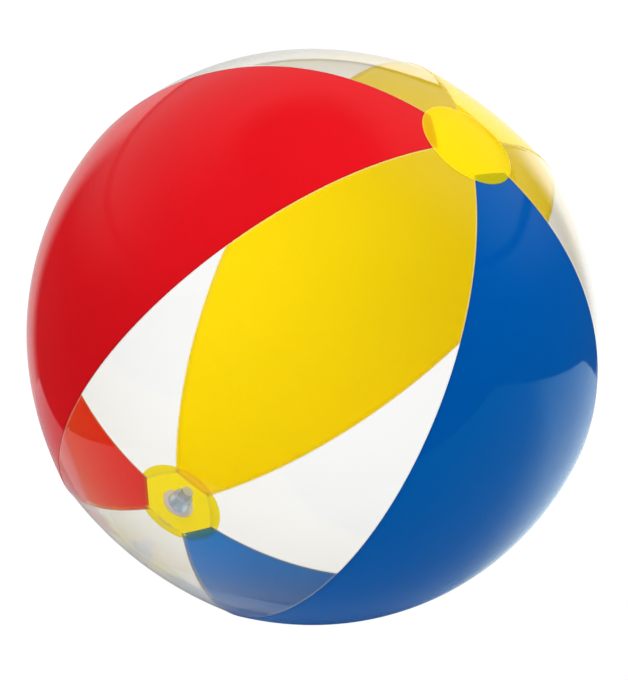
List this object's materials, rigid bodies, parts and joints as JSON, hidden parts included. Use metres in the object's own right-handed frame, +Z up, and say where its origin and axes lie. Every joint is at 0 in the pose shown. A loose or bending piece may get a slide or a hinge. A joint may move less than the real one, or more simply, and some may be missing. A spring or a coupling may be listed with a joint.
{
  "type": "inflatable beach ball",
  "caption": "Inflatable vinyl beach ball of coloured and clear gores with round end discs and a push-in valve with a hinged plug and a check flap.",
  "frame": {"origin": "centre of the blown-up ball", "axes": "+Z up as the ball lies at rest on a floor, -Y towards the viewer; the ball's pole axis leans 43.3 degrees from +Z towards azimuth -41.5 degrees, with the plain end disc at the upper pole and the valve at the lower one"},
  "size_m": [0.3876, 0.3876, 0.3876],
  "materials": {
    "red_vinyl": "glossy film",
    "blue_vinyl": "glossy film",
    "yellow_vinyl": "glossy film",
    "clear_vinyl": "glossy clear film",
    "valve_vinyl": "soft translucent moulding",
    "flap_film": "thin clear film"
  },
  "bodies": {
    "ball": {"yellow_gore": "yellow_vinyl", "clear_gore_upper": "clear_vinyl", "red_gore": "red_vinyl", "clear_gore_front": "clear_vinyl", "blue_gore": "blue_vinyl", "clear_gore_side": "clear_vinyl", "end_disc": "yellow_vinyl", "valve_disc": "yellow_vinyl", "valve_flange": "valve_vinyl", "valve_web": "valve_vinyl"},
    "stem": {"valve_stem": "valve_vinyl", "strap_root": "valve_vinyl"},
    "plug": {"plug": "valve_vinyl", "plug_strap": "valve_vinyl"},
    "flap": {"check_flap": "flap_film"}
  },
  "joints": [
    {"name": "valve_pull", "type": "slide", "parent": "ball", "child": "stem", "axis": [-0.5136, 0.4544, -0.7278], "range_m": [0, 0.015], "deforming": ["valve_web"]},
    {"name": "plug_swing", "type": "hinge", "parent": "stem", "child": "plug", "pos_m": [-0.10782, 0.09539, -0.13352], "axis": [0.6626, 0.749, 0], "range_deg": [0, 150]},
    {"name": "flap_open", "type": "hinge", "parent": "stem", "child": "flap", "pos_m": [-0.0929, 0.08219, -0.12522], "axis": [-0.6626, -0.749, 0], "range_deg": [0, 60], "stiffness_Nm_per_rad": 0.000005}
  ]
}
